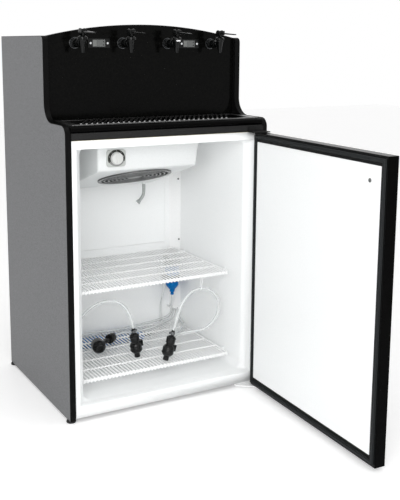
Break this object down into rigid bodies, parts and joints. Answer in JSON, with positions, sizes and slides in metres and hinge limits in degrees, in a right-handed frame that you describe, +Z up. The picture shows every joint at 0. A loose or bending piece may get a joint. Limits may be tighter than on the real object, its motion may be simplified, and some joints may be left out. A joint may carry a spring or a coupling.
{
  "type": "wine preservation dispenser",
  "caption": "Free-standing wine dispenser: chilled cabinet with wire shelves, gas and product lines behind a hinged door, and lever taps over a drip tray on a raised arched back.",
  "frame": {"origin": "centre of the four floor glides' undersides, on the floor", "axes": "+Z up, +Y to the back, +X to the right seen from the front"},
  "size_m": [0.6206, 1.0947, 1.0489],
  "materials": {
    "laminate_grey": "satin",
    "edge_strip": "satin",
    "laminate_black": "semi-gloss",
    "drip_steel": "dark brushed",
    "grille_steel": "brushed",
    "cover_steel": "satin",
    "glide_plastic": "matte",
    "worktop_grey": "matte",
    "foam": "foam",
    "liner_white": "satin",
    "chase_white": "satin",
    "housing_white": "satin",
    "grille_black": "matte",
    "motor_steel": "enamel",
    "fin_aluminium": "mill",
    "dial_grey": "satin",
    "knob_white": "satin",
    "wire_white": "coated",
    "hinge_white": "painted",
    "socket_black": "matte",
    "hose_white": "satin",
    "cylinder_blue": "enamel",
    "filter_black": "satin",
    "connector_black": "moulded",
    "clear_tube": "clear",
    "door_black": "gloss",
    "gasket_grey": "matte",
    "bush_nylon": "satin",
    "bezel_black": "satin",
    "window_grey": "gloss",
    "screw_steel": "bright",
    "nut_chrome": "bright",
    "tap_black": "gloss",
    "lever_black": "gloss"
  },
  "bodies": {
    "root": {"left_side_panel": "laminate_grey", "right_side_panel": "laminate_grey", "edge_trims": "edge_strip", "backsplash_panel": "laminate_black", "ledge_board": "laminate_black", "tower_top_panel": "laminate_black", "tower_rear_cover": "cover_steel", "fridge_case": "cover_steel", "top_hinge": "cover_steel", "floor_glides": "glide_plastic", "fridge_worktop": "worktop_grey", "insulation": "foam", "inner_liner": "liner_white", "air_duct_panel": "liner_white", "shelf_supports": "liner_white", "line_chase": "chase_white", "evaporator_housing": "housing_white", "fan_grille": "grille_black", "fan_motor": "motor_steel", "compressor": "motor_steel", "evaporator_coil": "fin_aluminium", "condenser": "fin_aluminium", "thermostat_plate": "dial_grey", "bottom_hinge": "hinge_white", "power_inlet": "socket_black", "drain_hose": "hose_white", "gas_line_left": "hose_white", "gas_line_right": "hose_white", "gas_cylinder": "cylinder_blue", "gas_filter_bowl": "cylinder_blue", "gas_filter_body": "filter_black", "connector_left": "connector_black", "connector_middle": "connector_black", "connector_right": "connector_black", "product_line_left": "clear_tube", "product_line_middle": "clear_tube", "product_line_right": "clear_tube", "display_bezels": "bezel_black", "display_windows": "window_grey", "display_screws": "screw_steel", "tap_nuts": "nut_chrome", "tap_1_body": "tap_black", "tap_2_body": "tap_black", "tap_3_body": "tap_black", "tap_4_body": "tap_black"},
    "door": {"door_skin": "door_black", "door_core": "foam", "door_inner_panel": "liner_white", "door_gasket": "gasket_grey", "door_bushes": "bush_nylon"},
    "thermostat_knob": {"thermostat_knob": "knob_white"},
    "fan_blade": {"fan_blade": "grille_black"},
    "upper_shelf": {"upper_shelf": "wire_white"},
    "lower_shelf": {"lower_shelf": "wire_white"},
    "drip_tray": {"drip_tray": "drip_steel"},
    "drip_grille": {"drip_grille": "grille_steel"},
    "tap_1_lever": {"tap_1_lever": "lever_black"},
    "tap_2_lever": {"tap_2_lever": "lever_black"},
    "tap_3_lever": {"tap_3_lever": "lever_black"},
    "tap_4_lever": {"tap_4_lever": "lever_black"}
  },
  "joints": [
    {"name": "door_hinge", "type": "hinge", "parent": "root", "child": "door", "pos_m": [0.274, -0.2795, 0.38], "axis": [0, 0, 1], "range_deg": [-87.4, 15]},
    {"name": "thermostat_turn", "type": "hinge", "parent": "root", "child": "thermostat_knob", "pos_m": [-0.126, -0.1745, 0.691], "axis": [0, -1, 0], "range_deg": [-140, 140]},
    {"name": "fan_spin", "type": "hinge", "parent": "root", "child": "fan_blade", "pos_m": [-0.012, -0.03288, 0.64077], "axis": [0, 0.3048, 0.9524], "continuous": true},
    {"name": "upper_shelf_slide", "type": "slide", "parent": "root", "child": "upper_shelf", "axis": [0, -1, 0], "range_m": [0, 0.3]},
    {"name": "lower_shelf_slide", "type": "slide", "parent": "root", "child": "lower_shelf", "axis": [0, -1, 0], "range_m": [0, 0.3]},
    {"name": "drip_tray_lift", "type": "slide", "parent": "root", "child": "drip_tray", "axis": [0, 0, 1], "range_m": [0, 0.06]},
    {"name": "drip_grille_lift", "type": "slide", "parent": "drip_tray", "child": "drip_grille", "axis": [0, 0, 1], "range_m": [0, 0.05]},
    {"name": "tap_1_press", "type": "hinge", "parent": "root", "child": "tap_1_lever", "pos_m": [-0.21, -0.1445, 1.027], "axis": [1, 0, 0], "range_deg": [0, 20], "stiffness_Nm_per_rad": 0.6, "springref_deg": -14.32},
    {"name": "tap_2_press", "type": "hinge", "parent": "root", "child": "tap_2_lever", "pos_m": [-0.07, -0.1445, 1.027], "axis": [1, 0, 0], "range_deg": [0, 20], "stiffness_Nm_per_rad": 0.6, "springref_deg": -14.32},
    {"name": "tap_3_press", "type": "hinge", "parent": "root", "child": "tap_3_lever", "pos_m": [0.07, -0.1445, 1.027], "axis": [1, 0, 0], "range_deg": [0, 20], "stiffness_Nm_per_rad": 0.6, "springref_deg": -14.32},
    {"name": "tap_4_press", "type": "hinge", "parent": "root", "child": "tap_4_lever", "pos_m": [0.21, -0.1445, 1.027], "axis": [1, 0, 0], "range_deg": [0, 20], "stiffness_Nm_per_rad": 0.6, "springref_deg": -14.32}
  ]
}
